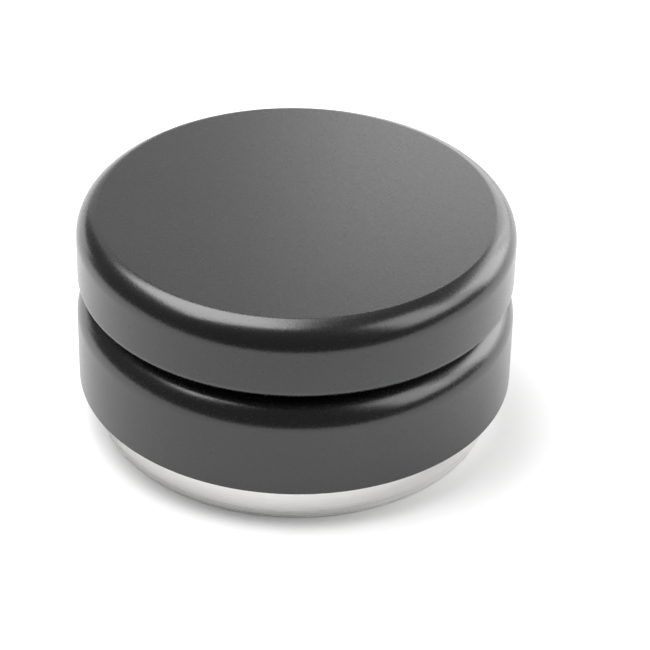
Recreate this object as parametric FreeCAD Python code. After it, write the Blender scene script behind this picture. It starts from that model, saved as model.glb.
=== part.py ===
"""Adjustable palm tamper for espresso, in millimetres.

The tamper stands on its steel base, with +Z up along its axis and the origin at
the centre of the base's underside. The base, the threaded hub and the cap are
screwed together into one spool. The depth collar is threaded onto the hub, so
turning it moves it up and down between the cap and the base. The collar rests on
the filter basket's rim, and what stands below it is how deep the base tamps.
"""
import FreeCAD, Part
import math
import os

V = FreeCAD.Vector
UP = V(0, 0, 1)

# Outside sizes, at the rest position.
BASE_DIAMETER = 58.0        # a standard 58 mm filter basket
BASE_SHOWS = 6.5            # base standing out below the collar
COLLAR_DIAMETER = 64.2      # rests on the basket's rim
COLLAR_HEIGHT = 14.5
GAP = 1.5                   # between the collar and the cap
CAP_DIAMETER = 63.8
CAP_HEIGHT = 11.5
EDGE_RADIUS = 4.0           # the turned edge on top of the cap and of the collar
EDGE_WIDTH = 3.15           # how far in from the side the flat top starts
CAP_LOWER_RADIUS = 1.5
SMALL_CHAMFER = 0.2

# The helical pair: the hub's thread and the collar's travel along it.
THREAD_PITCH = 1.5
THREAD_DIAMETER = 42.0
THREAD_DEPTH = 0.85
THREAD_ROOT = 0.3           # width of the hub's groove at its root
THREAD_MOUTH = 1.24         # and at the thread's crest
RUNNING_CLEARANCE = 0.05    # radial, between the hub's thread and the collar's nut
FLANK_CLEARANCE = 0.08      # along the axis, on each side of the nut's thread
TRAVEL_DOWN = 6.5           # the collar comes down flush with the base

# Base.
BASE_THICKNESS = 9.6
BASE_LAND = 6.3             # height of the ground band that enters the basket
RIM_GROOVE_HEIGHT = 0.6     # a narrow groove above the band gives the grinding wheel room
RIM_GROOVE_DEPTH = 0.5
SPIGOT_DIAMETER = 14.0      # centres the hub
SPIGOT_HEIGHT = 2.0
HOLE_FLOOR = 3.8            # steel left under the blind screw holes

# Hub: a cup with a threaded outside.
HUB_FLOOR = 4.0
HUB_BORE_DIAMETER = 32.0
HUB_FOOT = 0.6              # plain land below the thread
THREAD_UNDERCUT = 1.1       # where the threading tool runs out, above the foot

# Screws that hold the hub on the base.
SCREW_COUNT = 4
SCREW_CIRCLE = 23.0
SCREW_DIAMETER = 4.0
SCREW_LENGTH = 10.0
SCREW_HEAD_DIAMETER = 7.0
SCREW_HEAD_HEIGHT = 2.8
SCREW_KEY = 2.5             # across the flats of the hexagon socket
WASHER_DIAMETER = 7.0
WASHER_THICKNESS = 0.9
WASHER_SPLIT = 0.6

# Cap spigot, which screws into the hub's bore.
CAP_SPIGOT_LENGTH = 5.0
LOCK_SCREW_COUNT = 2
LOCK_SCREW_DIAMETER = 3.0
LOCK_SCREW_LENGTH = 3.6
LOCK_SCREW_POINT = 1.4      # diameter of its dog point
LOCK_SCREW_KEY = 1.5
LOCK_SCREW_DROP = 3.3       # below the cap's underside
LOCK_SCREW_BITE = 0.5       # how far its point enters the spigot's groove

# Collar inside.
COUNTERBORE_CLEARANCE = 0.25
STOP_CLEARANCE = 0.1        # left at the lower stop
LIP_THICKNESS = 1.0         # collar above the nut
LIP_CLEARANCE = 0.6
NUT_DIAMETER = 48.0
NUT_FLANGE_DIAMETER = 55.6
NUT_FLANGE = 1.8
NUT_THREAD_RELIEF = 0.6     # plain bore below the nut's thread
NUT_SCREW_COUNT = 4
NUT_SCREW_CIRCLE = 51.4
NUT_SCREW_DIAMETER = 2.0
NUT_SCREW_HEAD_DIAMETER = 3.6
NUT_SCREW_HEAD_HEIGHT = 0.9
NUT_SCREW_LENGTH = 3.4
NUT_SCREW_KEY = 1.2

# Rings.
DRAG_RING_WIDTH = 1.3       # rubber ring squeezed in the collar's groove
DRAG_RING_HEIGHT = 1.3
DRAG_RING_RISE = 0.6        # above the collar's lower edge
SEAL_WIDTH = 1.6
SEAL_HEIGHT = 1.1
SEAL_INNER = 33.0
CAP_RING_WIDTH = 1.0
CAP_RING_HEIGHT = 1.3
CAP_RING_DROP = 0.6
STOP_RING_INNER = 44.0
STOP_RING_OUTER = 50.0
STOP_RING_GROOVE = 0.5
STOP_RING_PROUD = 0.1
TOP_STOP_INNER = 46.0
TOP_STOP_OUTER = 52.0
TOP_STOP_GROOVE = 0.8
TOP_STOP_PROUD = 0.2

# Levels along the axis, worked out from the sizes above.
COLLAR_BOTTOM = BASE_SHOWS
COLLAR_TOP = COLLAR_BOTTOM + COLLAR_HEIGHT
CAP_BOTTOM = COLLAR_TOP + GAP
CAP_TOP = CAP_BOTTOM + CAP_HEIGHT
HUB_BOTTOM = BASE_THICKNESS
CUP_FLOOR = HUB_BOTTOM + HUB_FLOOR
WEB_BOTTOM = BASE_THICKNESS + STOP_RING_PROUD + TRAVEL_DOWN + STOP_CLEARANCE
LOCK_SCREW_LEVEL = CAP_BOTTOM - LOCK_SCREW_DROP
THREAD_START = HUB_BOTTOM + 1.1


def cylinder(diameter, low, high, x=0.0, y=0.0):
    """A solid cylinder parallel to the axis, between two levels."""
    return Part.makeCylinder(diameter / 2, high - low, V(x, y, low))


def tube(inner, outer, low, high):
    return cylinder(outer, low, high).cut(cylinder(inner, low - 1, high + 1))


def turned(edges):
    """Revolve a closed outline, drawn in the XZ plane, about the axis."""
    wire = Part.Wire(Part.__sortEdges__(edges))
    return Part.Face(wire).revolve(V(0, 0, 0), UP, 360)


def line(start, end):
    return Part.makeLine(V(start[0], 0, start[1]), V(end[0], 0, end[1]))


def arc(centre, radius, start_degrees, end_degrees):
    """An arc in the XZ plane, with its angles measured from +X towards +Z."""
    def at(degrees):
        angle = math.radians(degrees)
        return V(centre[0] + radius * math.cos(angle), 0, centre[1] + radius * math.sin(angle))
    middle = (start_degrees + end_degrees) / 2
    return Part.Arc(at(start_degrees), at(middle), at(end_degrees)).toShape()


def top_edge(side_radius, top):
    """The turned upper edge: an arc that leaves the side smoothly and meets the flat
    top at a faint crisp line. Returns the arc, where it starts and where it ends."""
    centre_radius = side_radius - EDGE_RADIUS
    flat_radius = side_radius - EDGE_WIDTH
    rise = math.sqrt(EDGE_RADIUS ** 2 - (flat_radius - centre_radius) ** 2)
    centre = (centre_radius, top - rise)
    end_degrees = math.degrees(math.atan2(rise, flat_radius - centre_radius))
    edge = arc(centre, EDGE_RADIUS, 0, end_degrees)
    return edge, (side_radius, top - rise), (flat_radius, top)


def squeezed_ring(inner, outer, low, high):
    """A rubber ring pressed into its groove: flat flanks with rounded corners."""
    inside = inner / 2
    outside = outer / 2
    corner = 0.3 * min(outside - inside, high - low)
    return turned([line((inside + corner, low), (outside - corner, low)),
                   arc((outside - corner, low + corner), corner, -90, 0),
                   line((outside, low + corner), (outside, high - corner)),
                   arc((outside - corner, high - corner), corner, 0, 90),
                   line((outside - corner, high), (inside + corner, high)),
                   arc((inside + corner, high - corner), corner, 90, 180),
                   line((inside, high - corner), (inside, low + corner)),
                   arc((inside + corner, low + corner), corner, 180, 270)])


def hexagon_socket(across_flats, low, high, x, y):
    """The hexagonal hole that a key turns, as a solid to cut away."""
    corner = across_flats / math.sqrt(3)
    points = []
    for step in range(7):
        angle = math.radians(60 * step)
        points.append(V(x + corner * math.cos(angle), y + corner * math.sin(angle), low))
    return Part.Face(Part.makePolygon(points)).extrude(V(0, 0, high - low))


def places(count, circle, first_degrees=0.0):
    """Points spaced evenly around a circle of the given diameter."""
    for step in range(count):
        angle = math.radians(first_degrees + 360 / count * step)
        yield circle / 2 * math.cos(angle), circle / 2 * math.sin(angle)


def screw_places():
    return places(SCREW_COUNT, SCREW_CIRCLE, 45)


def nut_screw_places():
    return places(NUT_SCREW_COUNT, NUT_SCREW_CIRCLE, 45)


def tamping_base():
    """Stainless disc, with a ground band around its rim that enters the basket."""
    radius = BASE_DIAMETER / 2
    outline = [(0, 0), (radius - SMALL_CHAMFER, 0), (radius, SMALL_CHAMFER),
               (radius, BASE_THICKNESS - SMALL_CHAMFER), (radius - SMALL_CHAMFER, BASE_THICKNESS),
               (SPIGOT_DIAMETER / 2, BASE_THICKNESS),
               (SPIGOT_DIAMETER / 2, BASE_THICKNESS + SPIGOT_HEIGHT),
               (0, BASE_THICKNESS + SPIGOT_HEIGHT), (0, 0)]
    base = turned([line(a, b) for a, b in zip(outline, outline[1:])])
    groove_floor = BASE_DIAMETER - 2 * RIM_GROOVE_DEPTH
    base = base.cut(tube(groove_floor, BASE_DIAMETER + 2, BASE_LAND, BASE_LAND + RIM_GROOVE_HEIGHT))
    for x, y in screw_places():
        base = base.cut(cylinder(SCREW_DIAMETER + 0.04, HOLE_FLOOR, BASE_THICKNESS + 1, x, y))
    groove_low = BASE_THICKNESS - STOP_RING_GROOVE
    return base.cut(tube(STOP_RING_INNER, STOP_RING_OUTER, groove_low, BASE_THICKNESS + 1))


def helical_bar(corners, turns):
    """A bar wound up the thread's helix, whose section has these (radius, height) corners.
    It starts on the +X side, at the thread's first level."""
    faces = []
    for turn in range(turns):
        edges = []
        for radius, height in corners:
            helix = Part.makeHelix(THREAD_PITCH, THREAD_PITCH, radius)
            helix.translate(V(0, 0, THREAD_START + height + turn * THREAD_PITCH))
            edges.append(helix.Edges[0])
        for low, high in zip(edges, edges[1:] + edges[:1]):
            faces.append(Part.makeRuledSurface(low, high))
    for turn in (0, turns):
        end = [V(radius, 0, THREAD_START + height + turn * THREAD_PITCH) for radius, height in corners]
        faces.append(Part.Face(Part.makePolygon(end + end[:1])))
    shell = Part.Shell(faces)
    shell.sewShape()
    return Part.Solid(shell)


def vee_section(root_radius, mouth_radius, ease):
    """The thread's vee between two radii, narrower on both flanks by the ease."""
    slope = (THREAD_MOUTH - THREAD_ROOT) / THREAD_DEPTH
    true_root = THREAD_DIAMETER / 2 - THREAD_DEPTH
    root_half = (THREAD_ROOT + slope * (root_radius - true_root)) / 2 - ease
    mouth_half = (THREAD_ROOT + slope * (mouth_radius - true_root)) / 2 - ease
    return [(root_radius, -root_half), (mouth_radius, -mouth_half),
            (mouth_radius, mouth_half), (root_radius, root_half)]


def male_thread_groove():
    """The vee groove of the hub's thread, as a solid to cut away."""
    crest = THREAD_DIAMETER / 2
    turns = math.ceil((CAP_BOTTOM - THREAD_START) / THREAD_PITCH) + 1
    return helical_bar(vee_section(crest - THREAD_DEPTH, crest + RUNNING_CLEARANCE, 0), turns)


def female_thread_ridge():
    """The ridge of the nut's thread, which runs in the hub's groove. It stops short of the
    nut's lower face, to pass the plain land at the foot of the hub."""
    crest = THREAD_DIAMETER / 2
    tip = crest - THREAD_DEPTH + 3 * RUNNING_CLEARANCE
    turns = math.ceil((COLLAR_TOP - THREAD_START) / THREAD_PITCH) + 1
    ridge = helical_bar(vee_section(tip, crest + 4 * RUNNING_CLEARANCE, FLANK_CLEARANCE), turns)
    low = WEB_BOTTOM + NUT_THREAD_RELIEF
    return ridge.common(cylinder(NUT_DIAMETER, low, COLLAR_TOP - LIP_THICKNESS))


def threaded_hub():
    """Aluminium cup with the thread outside. Its floor is screwed to the base and its
    bore takes the cap's spigot."""
    hub = cylinder(THREAD_DIAMETER, HUB_BOTTOM, CAP_BOTTOM)
    hub = hub.cut(cylinder(HUB_BORE_DIAMETER, CUP_FLOOR, CAP_BOTTOM + 1))
    spigot_top = BASE_THICKNESS + SPIGOT_HEIGHT
    hub = hub.cut(cylinder(SPIGOT_DIAMETER + 0.1, HUB_BOTTOM - 1, spigot_top + 0.2))
    for x, y in screw_places():
        hub = hub.cut(cylinder(SCREW_DIAMETER + 0.4, HUB_BOTTOM - 1, CUP_FLOOR + 1, x, y))
    seal_outer = SEAL_INNER + 2 * SEAL_WIDTH
    hub = hub.cut(tube(SEAL_INNER, seal_outer, HUB_BOTTOM - 1, HUB_BOTTOM + SEAL_HEIGHT))
    undercut = THREAD_DIAMETER - 2 * THREAD_DEPTH - 0.3
    foot_top = HUB_BOTTOM + HUB_FOOT
    hub = hub.cut(tube(undercut, THREAD_DIAMETER + 4, foot_top, foot_top + THREAD_UNDERCUT))
    for angle in lock_screw_angles():
        hub = hub.cut(lock_screw_hole(angle))
    return hub.cut(male_thread_groove())


def lock_screw_angles():
    return [360 / LOCK_SCREW_COUNT * step for step in range(LOCK_SCREW_COUNT)]


def radial(shape, angle):
    """Lay a piece drawn along +Z out along +X at the lock screws' level, then turn it
    about the tamper's axis."""
    shape.rotate(V(0, 0, 0), V(0, 1, 0), 90)
    shape.translate(V(0, 0, LOCK_SCREW_LEVEL))
    shape.rotate(V(0, 0, 0), UP, angle)
    return shape


def lock_screw_hole(angle):
    hole = cylinder(LOCK_SCREW_DIAMETER + 0.04, HUB_BORE_DIAMETER / 2 - 1, THREAD_DIAMETER / 2 + 1)
    return radial(hole, angle)


def base_seal_ring():
    """Rubber ring between the hub and the base, which keeps water out of the cup."""
    outer = SEAL_INNER + 2 * SEAL_WIDTH
    return squeezed_ring(SEAL_INNER + 0.1, outer - 0.1, HUB_BOTTOM, HUB_BOTTOM + SEAL_HEIGHT)


def base_screws():
    """Low-head socket screws from inside the cup down into the base."""
    under_head = CUP_FLOOR + WASHER_THICKNESS
    screws = []
    for x, y in screw_places():
        head_top = under_head + SCREW_HEAD_HEIGHT
        head = cylinder(SCREW_HEAD_DIAMETER, under_head, head_top, x, y)
        head = head.makeChamfer(0.3, [head.Edges[0]])
        shank = cylinder(SCREW_DIAMETER, under_head - SCREW_LENGTH, under_head + 0.5, x, y)
        screw = head.fuse(shank).removeSplitter()
        screws.append(screw.cut(hexagon_socket(SCREW_KEY, head_top - 1.6, head_top + 1, x, y)))
    return Part.makeCompound(screws)


def screw_lock_washers():
    """Split spring washers, closed flat under the screw heads."""
    washers = []
    for x, y in screw_places():
        washer = cylinder(WASHER_DIAMETER, CUP_FLOOR, CUP_FLOOR + WASHER_THICKNESS, x, y)
        washer = washer.cut(cylinder(SCREW_DIAMETER + 0.2, CUP_FLOOR - 1, CUP_FLOOR + 2, x, y))
        split = Part.makeBox(WASHER_DIAMETER, WASHER_SPLIT, 3, V(0, -WASHER_SPLIT / 2, CUP_FLOOR - 1))
        split.rotate(V(0, 0, 0), UP, math.degrees(math.atan2(y, x)))
        split.translate(V(x, y, 0))
        washers.append(washer.cut(split))
    return Part.makeCompound(washers)


def lower_stop_ring():
    """Acetal ring let into the base, which the collar meets at the bottom of its travel."""
    low = BASE_THICKNESS - STOP_RING_GROOVE
    return tube(STOP_RING_INNER + 0.1, STOP_RING_OUTER - 0.1, low, BASE_THICKNESS + STOP_RING_PROUD)


def upper_stop_ring():
    """Acetal ring let into the cap's underside, which the collar meets at the top."""
    low = CAP_BOTTOM - TOP_STOP_PROUD
    return tube(TOP_STOP_INNER + 0.1, TOP_STOP_OUTER - 0.1, low, CAP_BOTTOM + TOP_STOP_GROOVE)


def cap_disc():
    """The turned outside of the cap."""
    radius = CAP_DIAMETER / 2
    edge, side_top, flat_edge = top_edge(radius, CAP_TOP)
    lower_centre = (radius - CAP_LOWER_RADIUS, CAP_BOTTOM + CAP_LOWER_RADIUS)
    return turned([line((0, CAP_BOTTOM), (lower_centre[0], CAP_BOTTOM)),
                   arc(lower_centre, CAP_LOWER_RADIUS, -90, 0),
                   line((radius, lower_centre[1]), side_top),
                   edge,
                   line(flat_edge, (0, CAP_TOP)),
                   line((0, CAP_TOP), (0, CAP_BOTTOM))])


def cap():
    """Solid aluminium cap that the palm presses on, with the spigot that holds it."""
    spigot_bottom = CAP_BOTTOM - CAP_SPIGOT_LENGTH
    spigot_diameter = HUB_BORE_DIAMETER - 0.1
    spigot = cylinder(spigot_diameter, spigot_bottom, CAP_BOTTOM + 1)
    spigot = spigot.makeChamfer(0.4, [spigot.Edges[2]])
    shape = cap_disc().fuse(spigot).removeSplitter()
    shape = shape.cut(tube(TOP_STOP_INNER, TOP_STOP_OUTER, CAP_BOTTOM - 1, CAP_BOTTOM + TOP_STOP_GROOVE))
    ring_top = CAP_BOTTOM - CAP_RING_DROP
    ring_groove = spigot_diameter - 2 * CAP_RING_WIDTH
    shape = shape.cut(tube(ring_groove, HUB_BORE_DIAMETER + 1, ring_top - CAP_RING_HEIGHT, ring_top))
    half_groove = LOCK_SCREW_POINT / 2 + 0.05
    lock_low = LOCK_SCREW_LEVEL - half_groove
    lock_high = LOCK_SCREW_LEVEL + half_groove
    lock_groove = spigot_diameter - 2 * LOCK_SCREW_BITE
    return shape.cut(tube(lock_groove, HUB_BORE_DIAMETER + 1, lock_low, lock_high))


def cap_seal_ring():
    """Rubber ring in the cap spigot's groove."""
    outer = HUB_BORE_DIAMETER - 0.04
    inner = HUB_BORE_DIAMETER - 0.06 - 2 * CAP_RING_WIDTH
    top = CAP_BOTTOM - CAP_RING_DROP - 0.02
    return squeezed_ring(inner, outer, top - CAP_RING_HEIGHT + 0.04, top)


def cap_lock_screws():
    """Headless screws through the hub's wall, with their points in the spigot's groove."""
    point_radius = HUB_BORE_DIAMETER / 2 - LOCK_SCREW_BITE
    outer_end = point_radius + LOCK_SCREW_LENGTH
    screws = []
    for angle in lock_screw_angles():
        body = cylinder(LOCK_SCREW_DIAMETER, HUB_BORE_DIAMETER / 2 + 0.2, outer_end)
        tip = cylinder(LOCK_SCREW_POINT, point_radius, HUB_BORE_DIAMETER / 2 + 0.2)
        screw = body.fuse(tip).cut(hexagon_socket(LOCK_SCREW_KEY, outer_end - 1.5, outer_end + 1, 0, 0))
        screws.append(radial(screw, angle))
    return Part.makeCompound(screws)


def depth_collar():
    """The black ring that the fingers turn, bored to clear the base, the nut and the hub."""
    radius = COLLAR_DIAMETER / 2
    edge, side_top, flat_edge = top_edge(radius, COLLAR_TOP)
    collar = turned([line((0, COLLAR_BOTTOM), (radius - SMALL_CHAMFER, COLLAR_BOTTOM)),
                     line((radius - SMALL_CHAMFER, COLLAR_BOTTOM), (radius, COLLAR_BOTTOM + SMALL_CHAMFER)),
                     line((radius, COLLAR_BOTTOM + SMALL_CHAMFER), side_top),
                     edge,
                     line(flat_edge, (0, COLLAR_TOP)),
                     line((0, COLLAR_TOP), (0, COLLAR_BOTTOM))])
    counterbore = BASE_DIAMETER + 2 * COUNTERBORE_CLEARANCE
    nut_top = COLLAR_TOP - LIP_THICKNESS
    flange_top = WEB_BOTTOM + NUT_FLANGE
    collar = collar.cut(cylinder(counterbore, COLLAR_BOTTOM - 1, WEB_BOTTOM))
    collar = collar.cut(cylinder(NUT_FLANGE_DIAMETER + 0.04, WEB_BOTTOM - 1, flange_top))
    collar = collar.cut(cylinder(NUT_DIAMETER + 0.04, WEB_BOTTOM - 1, nut_top))
    collar = collar.cut(cylinder(THREAD_DIAMETER + 2 * LIP_CLEARANCE, WEB_BOTTOM - 1, COLLAR_TOP + 1))
    for x, y in nut_screw_places():
        hole_top = WEB_BOTTOM + NUT_SCREW_LENGTH + 0.2
        collar = collar.cut(cylinder(NUT_SCREW_DIAMETER + 0.04, WEB_BOTTOM, hole_top, x, y))
    low, high = drag_ring_levels()
    groove = counterbore + 2 * DRAG_RING_WIDTH - 2 * drag_ring_squeeze()
    return collar.cut(tube(counterbore - 1, groove, low - 0.05, high + 0.05))


def drag_ring_levels():
    low = COLLAR_BOTTOM + DRAG_RING_RISE
    return low, low + DRAG_RING_HEIGHT


def drag_ring_squeeze():
    """How far the rubber ring stands out of its groove towards the base."""
    return COUNTERBORE_CLEARANCE - RUNNING_CLEARANCE


def drag_ring():
    """Rubber ring in the collar's groove. It grips the base's rim, so the collar stays
    where it is turned to, and it wipes the rim clean."""
    inner = BASE_DIAMETER + 2 * RUNNING_CLEARANCE
    low, high = drag_ring_levels()
    return squeezed_ring(inner, inner + 2 * DRAG_RING_WIDTH - 0.04, low, high)


def collar_nut():
    """Bronze nut that carries the collar on the hub's thread, flanged below."""
    nut = cylinder(NUT_DIAMETER, WEB_BOTTOM, COLLAR_TOP - LIP_THICKNESS)
    nut = nut.fuse(cylinder(NUT_FLANGE_DIAMETER, WEB_BOTTOM, WEB_BOTTOM + NUT_FLANGE)).removeSplitter()
    bore = THREAD_DIAMETER + 2 * RUNNING_CLEARANCE
    nut = nut.cut(cylinder(bore, WEB_BOTTOM - 1, COLLAR_TOP)).fuse(female_thread_ridge())
    for x, y in nut_screw_places():
        nut = nut.cut(cylinder(NUT_SCREW_DIAMETER + 0.2, WEB_BOTTOM - 1, COLLAR_TOP, x, y))
        head_top = WEB_BOTTOM + NUT_SCREW_HEAD_HEIGHT
        nut = nut.cut(cylinder(NUT_SCREW_HEAD_DIAMETER + 0.2, WEB_BOTTOM - 1, head_top, x, y))
    return nut


def nut_screws():
    """Small flat-headed screws, sunk in the nut's flange and driven up into the collar."""
    screws = []
    for x, y in nut_screw_places():
        head_top = WEB_BOTTOM + NUT_SCREW_HEAD_HEIGHT
        head = cylinder(NUT_SCREW_HEAD_DIAMETER, WEB_BOTTOM + 0.1, head_top, x, y)
        shank = cylinder(NUT_SCREW_DIAMETER, WEB_BOTTOM + 0.1, WEB_BOTTOM + NUT_SCREW_LENGTH, x, y)
        socket = hexagon_socket(NUT_SCREW_KEY, WEB_BOTTOM - 1, head_top - 0.1, x, y)
        screws.append(head.fuse(shank).removeSplitter().cut(socket))
    return Part.makeCompound(screws)


PIECES = {
    "tamping_base": tamping_base,
    "threaded_hub": threaded_hub,
    "base_seal_ring": base_seal_ring,
    "base_screws": base_screws,
    "screw_lock_washers": screw_lock_washers,
    "lower_stop_ring": lower_stop_ring,
    "upper_stop_ring": upper_stop_ring,
    "cap": cap,
    "cap_seal_ring": cap_seal_ring,
    "cap_lock_screws": cap_lock_screws,
    "drag_ring": drag_ring,
    "depth_collar": depth_collar,
    "collar_nut": collar_nut,
    "nut_screws": nut_screws,
}


def main():
    os.makedirs("parts", exist_ok=True)
    for name, make in PIECES.items():
        shape = make()
        shape.exportStep(os.path.join("parts", name + ".step"))
        print(name, "valid" if shape.isValid() else "NOT VALID", len(shape.Solids), round(shape.Volume, 1))


main()
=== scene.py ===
"""The looks of an adjustable palm tamper: black anodised cap and collar over a stainless
base, on a pale floor under soft studio light.

Lengths are in metres, in the CAD model's own frame: +Z up, with the origin under the middle
of the base. The turned pieces are built here as fine lathe work in the CAD pieces' places.
"""
import math

import bpy
from mathutils import Matrix, Vector


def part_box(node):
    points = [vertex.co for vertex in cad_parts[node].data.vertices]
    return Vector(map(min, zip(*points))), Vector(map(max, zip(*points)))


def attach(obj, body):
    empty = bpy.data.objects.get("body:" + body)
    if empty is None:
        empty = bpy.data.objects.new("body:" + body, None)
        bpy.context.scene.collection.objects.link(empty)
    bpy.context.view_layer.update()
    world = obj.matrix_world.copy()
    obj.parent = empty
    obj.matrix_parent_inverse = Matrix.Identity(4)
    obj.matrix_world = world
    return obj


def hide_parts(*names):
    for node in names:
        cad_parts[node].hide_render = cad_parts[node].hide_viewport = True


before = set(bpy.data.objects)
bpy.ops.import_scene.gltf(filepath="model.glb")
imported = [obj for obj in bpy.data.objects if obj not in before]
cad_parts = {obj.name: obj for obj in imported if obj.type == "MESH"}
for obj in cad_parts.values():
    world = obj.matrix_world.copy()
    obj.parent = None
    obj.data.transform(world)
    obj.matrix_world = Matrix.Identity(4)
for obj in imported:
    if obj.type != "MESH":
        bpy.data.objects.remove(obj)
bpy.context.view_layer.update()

MM = 0.001


# ---------------------------------------------------------------- sizes from the frame

CAP_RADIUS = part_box("cap")[1].x
CAP_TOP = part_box("cap")[1].z
SPIGOT_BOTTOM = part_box("cap")[0].z
CAP_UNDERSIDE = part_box("threaded_hub")[1].z
HUB_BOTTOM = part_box("threaded_hub")[0].z
HUB_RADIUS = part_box("threaded_hub")[1].x
COLLAR_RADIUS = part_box("depth_collar")[1].x
COLLAR_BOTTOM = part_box("depth_collar")[0].z
COLLAR_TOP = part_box("depth_collar")[1].z
BASE_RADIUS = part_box("tamping_base")[1].x
BASE_SPIGOT_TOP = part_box("tamping_base")[1].z
NUT_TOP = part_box("collar_nut")[1].z
NUT_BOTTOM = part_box("collar_nut")[0].z
NUT_FLANGE_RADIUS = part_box("collar_nut")[1].x
LOWER_STOP_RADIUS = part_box("lower_stop_ring")[1].x
LOWER_STOP_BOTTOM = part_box("lower_stop_ring")[0].z
UPPER_STOP_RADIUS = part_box("upper_stop_ring")[1].x
UPPER_STOP_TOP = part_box("upper_stop_ring")[1].z
DRAG_RING_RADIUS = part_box("drag_ring")[1].x
DRAG_RING_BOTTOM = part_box("drag_ring")[0].z
DRAG_RING_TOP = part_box("drag_ring")[1].z
CAP_SEAL_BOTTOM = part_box("cap_seal_ring")[0].z
CAP_SEAL_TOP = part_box("cap_seal_ring")[1].z

HUB_BORE_CLEARANCE = 0.05 * MM   # round the cap's spigot
SPIGOT_RADIUS = 16.0 * MM - HUB_BORE_CLEARANCE
SPIGOT_CHAMFER = 0.4 * MM
SEAL_GROOVE_DEPTH = 1.0 * MM
STOP_GROOVE_INSIDE = 2.95 * MM   # from a stop ring's outside to its groove's inner wall
BASE_SPIGOT_RADIUS = 7.0 * MM
RIM_GROOVE_LOW = 6.3 * MM
RIM_GROOVE_HIGH = 6.9 * MM
RIM_GROOVE_DEPTH = 0.5 * MM
COLLAR_BORE_RADIUS = BASE_RADIUS + 0.25 * MM
COLLAR_LIP_RADIUS = 21.6 * MM
NUT_BODY_RADIUS = 24.0 * MM
NUT_FLANGE_TOP = NUT_BOTTOM + 1.8 * MM

# The turned edges, as they are cut on the lathe.
EDGE_RADIUS = 4.0 * MM          # upper edge of the cap and of the collar
EDGE_WIDTH = 3.15 * MM          # how far in from the side the flat top starts
CAP_LOWER_RADIUS = 1.5 * MM
FINE_CORNER = 0.2 * MM          # deburred corners
CREST_WEAR = 0.25 * MM          # how far down the hub's thread the collar has rubbed it

AROUND = 256                    # facets around a turned piece
HOLD = 0.06 * MM                # a loop this close to a corner keeps the run beside it flat
LONG_RUN = 12 * HOLD            # only a run longer than this gets holding loops
ON_AXIS = 1e-9                  # a point this near the axis is one vertex, not a ring
SHARP_DEGREES = 30              # corners sharper than this aren't shaded smooth

# The surroundings.
CAMERA_PLACE = Vector((0.0, -329.1, 235.8)) * MM
CAMERA_AIM = Vector((4.4, 0.0, 13.6)) * MM
CAMERA_LENS = 148.26            # millimetres, on a sensor 36 mm wide
CAMERA_SENSOR = 36.0
CAMERA_ROLL_DEGREES = 1.32
TABLE_WIDTH = 800 * MM
TABLE_DEPTH = 700 * MM
TABLE_BEHIND = 250 * MM         # how far its middle is behind the tamper
SURROUND_RADIUS = 3000 * MM
ROOM_LIGHT = 0.13               # the studio's dim light from every side


# ---------------------------------------------------------------- lathe work

def arc(centre, radius, start_degrees, end_degrees, steps=6):
    """Points along an arc in the (radius, height) plane."""
    points = []
    for step in range(steps + 1):
        angle = math.radians(start_degrees + (end_degrees - start_degrees) * step / steps)
        points.append((centre[0] + radius * math.cos(angle), centre[1] + radius * math.sin(angle)))
    return points


def turned_edge(side, top):
    """The rounded upper edge, from the side up to the flat top, which it meets at a faint
    crisp line."""
    flat = side - EDGE_WIDTH
    centre_radius = side - EDGE_RADIUS
    rise = math.sqrt(EDGE_RADIUS ** 2 - (flat - centre_radius) ** 2)
    end_degrees = math.degrees(math.atan2(rise, flat - centre_radius))
    return arc((centre_radius, top - rise), EDGE_RADIUS, 0, end_degrees, steps=20)


def with_holding_loops(outline, closed):
    """Add a point just inside each end of every long straight run, so that smooth shading
    doesn't bend the run's reflections."""
    pairs = list(zip(outline, outline[1:] + outline[:1] if closed else outline[1:]))
    points = []
    for start, end in pairs:
        points.append(start)
        length = math.dist(start, end)
        if length > LONG_RUN:
            for share in (HOLD / length, 1 - HOLD / length):
                points.append((start[0] + (end[0] - start[0]) * share,
                               start[1] + (end[1] - start[1]) * share))
    if not closed:
        points.append(outline[-1])
    return points


def turned(name, outline, body, material, closed=False):
    """Revolve an outline about the axis. An open outline starts and ends on the axis."""
    points = with_holding_loops(outline, closed)
    vertices = []
    rings = []
    for radius, height in points:
        count = 1 if radius < ON_AXIS else AROUND
        rings.append(range(len(vertices), len(vertices) + count))
        for step in range(count):
            angle = 2 * math.pi * step / AROUND
            vertices.append((radius * math.cos(angle), radius * math.sin(angle), height))
    faces = []
    neighbours = list(zip(rings, rings[1:] + rings[:1] if closed else rings[1:]))
    for low, high in neighbours:
        for step in range(AROUND):
            after = (step + 1) % AROUND
            corners = [low[step % len(low)], low[after % len(low)],
                       high[after % len(high)], high[step % len(high)]]
            faces.append([c for i, c in enumerate(corners) if c not in corners[:i]])
    mesh = bpy.data.meshes.new(name)
    mesh.from_pydata(vertices, [], faces)
    mesh.validate()
    mesh.shade_smooth()
    mesh.set_sharp_from_angle(angle=math.radians(SHARP_DEGREES))
    mesh.materials.append(material)
    piece = bpy.data.objects.new(name, mesh)
    bpy.context.scene.collection.objects.link(piece)
    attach(piece, body)
    return piece


# ---------------------------------------------------------------- materials

def colour(hex_code):
    """An sRGB hex colour as linear RGBA."""
    channels = []
    for place in (1, 3, 5):
        value = int(hex_code[place:place + 2], 16) / 255
        channels.append(value / 12.92 if value <= 0.04045 else ((value + 0.055) / 1.055) ** 2.4)
    return (*channels, 1.0)


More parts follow.
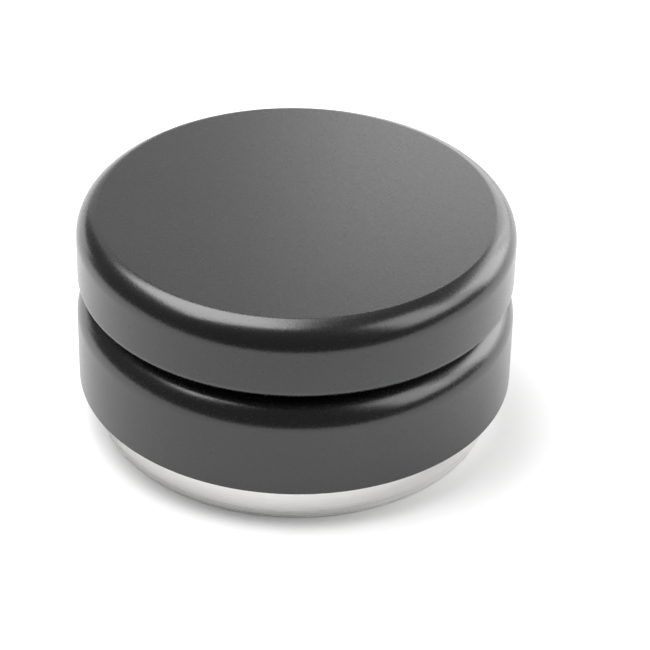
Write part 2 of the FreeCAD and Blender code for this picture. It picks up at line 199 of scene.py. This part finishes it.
def add(material, kind, settings=None, inputs=None):
    """Add a node, with its own settings and its inputs: values, or other nodes' outputs."""
    made = material.node_tree.nodes.new(kind)
    for name, value in (settings or {}).items():
        setattr(made, name, value)
    for socket, value in (inputs or {}).items():
        if isinstance(value, bpy.types.NodeSocket):
            material.node_tree.links.new(value, made.inputs[socket])
        else:
            made.inputs[socket].default_value = value
    return made


def start_material(name):
    """A new material with an empty node tree."""
    material = bpy.data.materials.new(name)
    material.use_nodes = True
    material.node_tree.nodes.clear()
    return material


def finish_material(material, **inputs):
    """Close a material with one Principled shader. Names use underscores for spaces."""
    sockets = {name.replace("_", " "): value for name, value in inputs.items()}
    shader = add(material, "ShaderNodeBsdfPrincipled", inputs=sockets)
    add(material, "ShaderNodeOutputMaterial", inputs={"Surface": shader.outputs["BSDF"]})
    return material


def per_metre(size_mm):
    """A noise scale whose features are about this many millimetres across."""
    return 1000 / size_mm


def mottle(material, size_mm, detail=2.0):
    """Even noise all through the piece, from 0 to 1."""
    place = add(material, "ShaderNodeTexCoord").outputs["Object"]
    noise = add(material, "ShaderNodeTexNoise", inputs={
        "Vector": place, "Scale": per_metre(size_mm), "Detail": detail, "Roughness": 0.6})
    return noise.outputs["Fac"]


def from_axis(material, place):
    """The distance from the tamper's axis."""
    flat = add(material, "ShaderNodeVectorMath", {"operation": "MULTIPLY"}, {0: place, 1: (1, 1, 0)})
    distance = add(material, "ShaderNodeVectorMath", {"operation": "LENGTH"},
                   {0: flat.outputs["Vector"]})
    return distance.outputs["Value"]


def lathe_marks(material, size_mm):
    """Noise that changes only with height and with distance from the axis, as a turning tool
    leaves it: rings on a flat face, bands round a side."""
    place = add(material, "ShaderNodeTexCoord").outputs["Object"]
    height = add(material, "ShaderNodeSeparateXYZ", inputs={"Vector": place})
    profile = add(material, "ShaderNodeCombineXYZ", inputs={
        "X": from_axis(material, place), "Z": height.outputs["Z"]})
    marks = add(material, "ShaderNodeTexNoise", inputs={
        "Vector": profile.outputs["Vector"], "Scale": per_metre(size_mm), "Detail": 3.0})
    return marks.outputs["Fac"]


def between(material, amount, low, high):
    """A number that follows the noise from low to high. Noise seldom leaves 0.3 to 0.7."""
    ramp = add(material, "ShaderNodeMapRange", inputs={
        "Value": amount, "From Min": 0.3, "From Max": 0.7, "To Min": low, "To Max": high})
    return ramp.outputs["Result"]


def tinted(material, amount, low_hex, high_hex):
    """A colour that follows the noise from one tint to another."""
    mix = add(material, "ShaderNodeMix", {"data_type": "RGBA"})
    material.node_tree.links.new(between(material, amount, 0.0, 1.0), mix.inputs["Factor"])
    mix.inputs["A"].default_value = colour(low_hex)
    mix.inputs["B"].default_value = colour(high_hex)
    return mix.outputs["Result"]


def raised(material, height, depth_mm):
    """A bump as deep as this where the noise runs from 0 to 1."""
    bump = add(material, "ShaderNodeBump", inputs={
        "Strength": 1.0, "Distance": depth_mm * MM, "Height": height})
    return bump.outputs["Normal"]


def black_anodised_aluminium():
    """Aluminium, bead blasted, then anodised and dyed black. The clear oxide over the dye gives
    a soft satin gloss, and the blasted grain frays the edges of its reflections."""
    material = start_material("black anodised aluminium, bead blasted")
    # Bead dimples are about 0.08 mm across. They are drawn at 0.3 mm to show.
    grain = mottle(material, 0.3)
    # The dye takes a shade unevenly over a centimetre or so.
    dye = mottle(material, 12.0)
    return finish_material(material, Base_Color=tinted(material, dye, "#111112", "#141415"),
                           Metallic=0.0, IOR=1.6, Roughness=between(material, grain, 0.22, 0.28),
                           Normal=raised(material, grain, 0.008))


def turned_stainless_steel():
    """Stainless steel bar, fine turned. Rings left by the tool stretch reflections across
    themselves, so the steel shines softly, in bands that run up and down its side."""
    material = start_material("fine turned stainless steel")
    # The tool feeds 0.05 mm a turn. The rings are drawn at 0.3 mm to show.
    marks = lathe_marks(material, 0.3)
    metal = tinted(material, marks, "#dedddb", "#e8e7e5")
    tangent = add(material, "ShaderNodeTangent", {"direction_type": "RADIAL", "axis": "Z"})
    return finish_material(material, Base_Color=metal, Metallic=1.0, Anisotropic=0.5,
                           Anisotropic_Rotation=0.25, Tangent=tangent.outputs["Tangent"],
                           Roughness=between(material, marks, 0.27, 0.34),
                           Normal=raised(material, marks, 0.0008))


def anodised_thread():
    """The hub: turned aluminium, hard anodised dark grey, with damping grease on its thread.
    Each turn shows as a line of rubbed metal along its crest above a dark groove."""
    material = start_material("hard anodised aluminium, greased")
    marks = lathe_marks(material, 0.25)
    smear = mottle(material, 2.5)
    place = add(material, "ShaderNodeTexCoord").outputs["Object"]
    crest = add(material, "ShaderNodeMapRange", inputs={
        "Value": from_axis(material, place), "From Min": HUB_RADIUS - CREST_WEAR,
        "From Max": HUB_RADIUS, "To Min": 0.0, "To Max": 0.75})
    rubbed = add(material, "ShaderNodeMix", {"data_type": "RGBA"}, {
        "Factor": crest.outputs["Result"], "A": tinted(material, smear, "#1b1b1d", "#262628"),
        "B": colour("#6f6f72")})
    return finish_material(material, Base_Color=rubbed.outputs["Result"], Metallic=0.0, IOR=1.6,
                           Roughness=between(material, smear, 0.28, 0.42),
                           Coat_Weight=0.3, Coat_Roughness=0.12, Coat_IOR=1.47,
                           Normal=raised(material, marks, 0.003))


def bearing_bronze():
    """Tin bronze, turned and a little tarnished: warm, with browner patches."""
    material = start_material("turned bearing bronze")
    marks = lathe_marks(material, 0.25)
    tarnish = mottle(material, 4.0, detail=4.0)
    return finish_material(material, Base_Color=tinted(material, tarnish, "#b98a54", "#9c6f3f"),
                           Metallic=1.0, Roughness=between(material, tarnish, 0.26, 0.38),
                           Normal=raised(material, marks, 0.003))


def rolled_screw_steel():
    """Cold formed stainless screws, tumbled: bright, with fine knocks all over."""
    material = start_material("tumbled stainless screw steel")
    # Tumbling knocks are under 0.1 mm. They are drawn at 0.3 mm to show.
    knocks = mottle(material, 0.3)
    return finish_material(material, Base_Color=tinted(material, knocks, "#b4b2ae", "#c6c4c0"),
                           Metallic=1.0, Roughness=between(material, knocks, 0.22, 0.34),
                           Normal=raised(material, knocks, 0.003))


def blued_spring_steel():
    """Hardened strip, tempered to a dark blue-brown oxide with a low sheen."""
    material = start_material("tempered spring steel")
    oxide = mottle(material, 1.2, detail=3.0)
    return finish_material(material, Base_Color=tinted(material, oxide, "#3c4150", "#574c46"),
                           Metallic=1.0, Roughness=between(material, oxide, 0.32, 0.45),
                           Normal=raised(material, oxide, 0.002))


def moulded_nitrile():
    """Nitrile rubber O-ring cord: near black and almost dull, with a fine moulded skin."""
    material = start_material("moulded nitrile rubber")
    # The skin's grain is finer than 0.1 mm. It is drawn at 0.2 mm to show.
    skin = mottle(material, 0.2)
    return finish_material(material, Base_Color=tinted(material, skin, "#141414", "#1d1d1c"),
                           Metallic=0.0, IOR=1.52, Roughness=between(material, skin, 0.55, 0.7),
                           Normal=raised(material, skin, 0.004))


def turned_acetal():
    """Black acetal, turned: a waxy half gloss with fine rings."""
    material = start_material("turned black acetal")
    marks = lathe_marks(material, 0.25)
    return finish_material(material, Base_Color=tinted(material, marks, "#121213", "#1a1a1b"),
                           Metallic=0.0, IOR=1.48, Roughness=between(material, marks, 0.32, 0.42),
                           Normal=raised(material, marks, 0.003))


BLACK_ANODISED = black_anodised_aluminium()
STAINLESS = turned_stainless_steel()
HUB_FINISH = anodised_thread()
BRONZE = bearing_bronze()
SCREW_STEEL = rolled_screw_steel()
SPRING_STEEL = blued_spring_steel()
RUBBER = moulded_nitrile()
ACETAL = turned_acetal()


# ---------------------------------------------------------------- pieces

def make_cap():
    """The palm cap with its spigot, which the hub's bore holds."""
    seal_groove = SPIGOT_RADIUS - SEAL_GROOVE_DEPTH
    stop_groove = UPPER_STOP_RADIUS - STOP_GROOVE_INSIDE
    lower_centre = (CAP_RADIUS - CAP_LOWER_RADIUS, CAP_UNDERSIDE + CAP_LOWER_RADIUS)
    outline = [
        (0, SPIGOT_BOTTOM), (SPIGOT_RADIUS - SPIGOT_CHAMFER, SPIGOT_BOTTOM),
        (SPIGOT_RADIUS, SPIGOT_BOTTOM + SPIGOT_CHAMFER), (SPIGOT_RADIUS, CAP_SEAL_BOTTOM),
        (seal_groove, CAP_SEAL_BOTTOM), (seal_groove, CAP_SEAL_TOP),
        (SPIGOT_RADIUS, CAP_SEAL_TOP), (SPIGOT_RADIUS, CAP_UNDERSIDE),
        (stop_groove, CAP_UNDERSIDE), (stop_groove, UPPER_STOP_TOP),
        (UPPER_STOP_RADIUS, UPPER_STOP_TOP), (UPPER_STOP_RADIUS, CAP_UNDERSIDE),
    ]
    outline += arc(lower_centre, CAP_LOWER_RADIUS, -90, 0, steps=10)
    outline += turned_edge(CAP_RADIUS, CAP_TOP)
    outline += [(0, CAP_TOP)]
    piece = turned("palm_cap", outline, "tamper", BLACK_ANODISED)
    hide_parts("cap")


def make_collar():
    """The depth collar, with its grooved bore and the seat of its nut."""
    corner = (COLLAR_RADIUS - FINE_CORNER, COLLAR_BOTTOM + FINE_CORNER)
    outline = [(COLLAR_BORE_RADIUS, COLLAR_BOTTOM)]
    outline += arc(corner, FINE_CORNER, -90, 0, steps=3)
    outline += turned_edge(COLLAR_RADIUS, COLLAR_TOP)
    outline += [
        (COLLAR_LIP_RADIUS, COLLAR_TOP), (COLLAR_LIP_RADIUS, NUT_TOP),
        (NUT_BODY_RADIUS, NUT_TOP), (NUT_BODY_RADIUS, NUT_FLANGE_TOP),
        (NUT_FLANGE_RADIUS, NUT_FLANGE_TOP), (NUT_FLANGE_RADIUS, NUT_BOTTOM),
        (COLLAR_BORE_RADIUS, NUT_BOTTOM), (COLLAR_BORE_RADIUS, DRAG_RING_TOP),
        (DRAG_RING_RADIUS, DRAG_RING_TOP), (DRAG_RING_RADIUS, DRAG_RING_BOTTOM),
        (COLLAR_BORE_RADIUS, DRAG_RING_BOTTOM),
    ]
    piece = turned("depth_collar_turned", outline, "collar",
                   BLACK_ANODISED, closed=True)
    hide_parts("depth_collar")


def make_base():
    """The steel base: a ground band for the basket, a grinding relief above it, and the
    groove and spigot that the lower stop ring and the hub sit on."""
    rim_groove = BASE_RADIUS - RIM_GROOVE_DEPTH
    stop_groove = LOWER_STOP_RADIUS - STOP_GROOVE_INSIDE
    low_corner = (BASE_RADIUS - FINE_CORNER, FINE_CORNER)
    high_corner = (BASE_RADIUS - FINE_CORNER, HUB_BOTTOM - FINE_CORNER)
    outline = [(0, 0)]
    outline += arc(low_corner, FINE_CORNER, -90, 0, steps=3)
    outline += [(BASE_RADIUS, RIM_GROOVE_LOW), (rim_groove, RIM_GROOVE_LOW),
                (rim_groove, RIM_GROOVE_HIGH), (BASE_RADIUS, RIM_GROOVE_HIGH)]
    outline += arc(high_corner, FINE_CORNER, 0, 90, steps=3)
    outline += [
        (LOWER_STOP_RADIUS, HUB_BOTTOM), (LOWER_STOP_RADIUS, LOWER_STOP_BOTTOM),
        (stop_groove, LOWER_STOP_BOTTOM), (stop_groove, HUB_BOTTOM),
        (BASE_SPIGOT_RADIUS, HUB_BOTTOM), (BASE_SPIGOT_RADIUS, BASE_SPIGOT_TOP),
        (0, BASE_SPIGOT_TOP),
    ]
    piece = turned("tamping_base_turned", outline, "tamper", STAINLESS)
    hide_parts("tamping_base")


def finish_cad_nodes():
    """Give the CAD pieces that stay their real finishes."""
    finishes = {
        "threaded_hub": HUB_FINISH, "collar_nut": BRONZE, "base_screws": SCREW_STEEL,
        "cap_lock_screws": SCREW_STEEL, "nut_screws": SCREW_STEEL,
        "screw_lock_washers": SPRING_STEEL, "base_seal_ring": RUBBER, "cap_seal_ring": RUBBER,
        "drag_ring": RUBBER, "lower_stop_ring": ACETAL, "upper_stop_ring": ACETAL,
    }
    for node, material in finishes.items():
        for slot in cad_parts[node].material_slots:
            slot.material = material


# ---------------------------------------------------------------- camera, floor and light

def make_camera():
    """Stands in front and above, close, with a long lens; the tamper sits a little left."""
    data = bpy.data.cameras.new("camera")
    data.lens = CAMERA_LENS
    data.sensor_width = CAMERA_SENSOR
    camera = bpy.data.objects.new("camera", data)
    tilt = (CAMERA_PLACE - CAMERA_AIM).to_track_quat("Z", "Y").to_matrix().to_4x4()
    roll = Matrix.Rotation(math.radians(CAMERA_ROLL_DEGREES), 4, "Z")
    camera.matrix_world = Matrix.Translation(CAMERA_PLACE) @ tilt @ roll
    bpy.context.scene.collection.objects.link(camera)
    bpy.context.scene.camera = camera


def make_floor():
    """A small table top covered in matt white paper, which the pieces reflect."""
    material = start_material("matt white paper")
    finish_material(material, Base_Color=colour("#d3d3d3"), Roughness=0.9, Specular_IOR_Level=0.2)
    bpy.ops.mesh.primitive_plane_add(size=1.0)
    floor = bpy.context.object
    floor.name = "floor"
    floor.scale = (TABLE_WIDTH, TABLE_DEPTH, 1.0)
    floor.location = (0.0, TABLE_BEHIND, 0.0)
    floor.data.materials.append(material)


def only_seen_by_camera(thing):
    """Keep a thing out of reflections, shadows and bounced light."""
    thing.visible_diffuse = False
    thing.visible_glossy = False
    thing.visible_transmission = False
    thing.visible_shadow = False


def make_surround():
    """The bright studio beyond the table, which only the camera sees."""
    material = start_material("white studio")
    glow = add(material, "ShaderNodeEmission", inputs={"Color": colour("#ffffff"), "Strength": 1.05})
    add(material, "ShaderNodeOutputMaterial", inputs={"Surface": glow.outputs["Emission"]})
    bpy.ops.mesh.primitive_uv_sphere_add(segments=48, ring_count=24, radius=SURROUND_RADIUS)
    surround = bpy.context.object
    surround.name = "studio_surround"
    surround.data.materials.append(material)
    only_seen_by_camera(surround)


def toward(azimuth, elevation):
    """A direction from the tamper. Azimuth 0 is straight behind it and 90 is to its right."""
    a = math.radians(azimuth)
    e = math.radians(elevation)
    return Vector((math.sin(a) * math.cos(e), math.cos(a) * math.cos(e), math.sin(e)))


def softbox(name, place, width, height, brightness, facing=None, reflected=True):
    """An area light that faces the tamper, or the given way. Brightness is the radiance
    of its face. One that isn't reflected only fills the shadows."""
    light = bpy.data.lights.new(name, "AREA")
    light.shape = "RECTANGLE"
    light.size = width
    light.size_y = height
    light.energy = brightness * math.pi * width * height
    box = bpy.data.objects.new(name, light)
    box.location = place
    box.rotation_mode = "QUATERNION"
    box.rotation_quaternion = (facing or place).to_track_quat("Z", "Y")
    box.visible_camera = False
    box.visible_glossy = reflected
    bpy.context.scene.collection.objects.link(box)


def make_room():
    """Dim even light from every side, so that no shadow is quite black."""
    world = bpy.data.worlds.new("studio")
    world.use_nodes = True
    background = world.node_tree.nodes["Background"]
    background.inputs["Color"].default_value = colour("#ffffff")
    background.inputs["Strength"].default_value = ROOM_LIGHT
    bpy.context.scene.world = world
    bpy.context.scene.view_settings.view_transform = "Standard"


def make_lights():
    """A panel overhead draws the bright line along the turned edges. Walls and boxes behind
    and to the right grade the flat top and the sides. Two fills soften the shadow on the table.
    """
    overhead = Vector((-0.40, 0.155, 1.0))
    softbox("overhead panel", overhead, 0.80, 1.02, 7.4, facing=Vector((0, 0, 1)))
    softbox("back wall", 1.2 * toward(21.3, 18.3), 0.80, 0.76, 3.0)
    softbox("right back wall", 1.2 * toward(57, 20), 0.80, 0.93, 2.95)
    softbox("left back panel", 1.2 * toward(-18, 25), 0.75, 0.7, 0.75)
    softbox("left low panel", 1.2 * toward(-35, 2), 1.0, 0.22, 2.0)
    softbox("right back box", toward(62, 22), 0.5, 0.5, 3.0)
    softbox("right front box", toward(112, 38), 0.5, 0.7, 3.8)
    softbox("right side panel", toward(88, 28), 0.35, 0.4, 3.2)
    softbox("left fill", 1.1 * toward(-100, 45), 0.9, 0.9, 3.2, reflected=False)
    softbox("right fill", 1.1 * toward(95, 45), 0.9, 0.9, 1.8, reflected=False)


finish_cad_nodes()
make_cap()
make_collar()
make_base()
make_camera()
make_floor()
make_surround()
make_room()
make_lights()
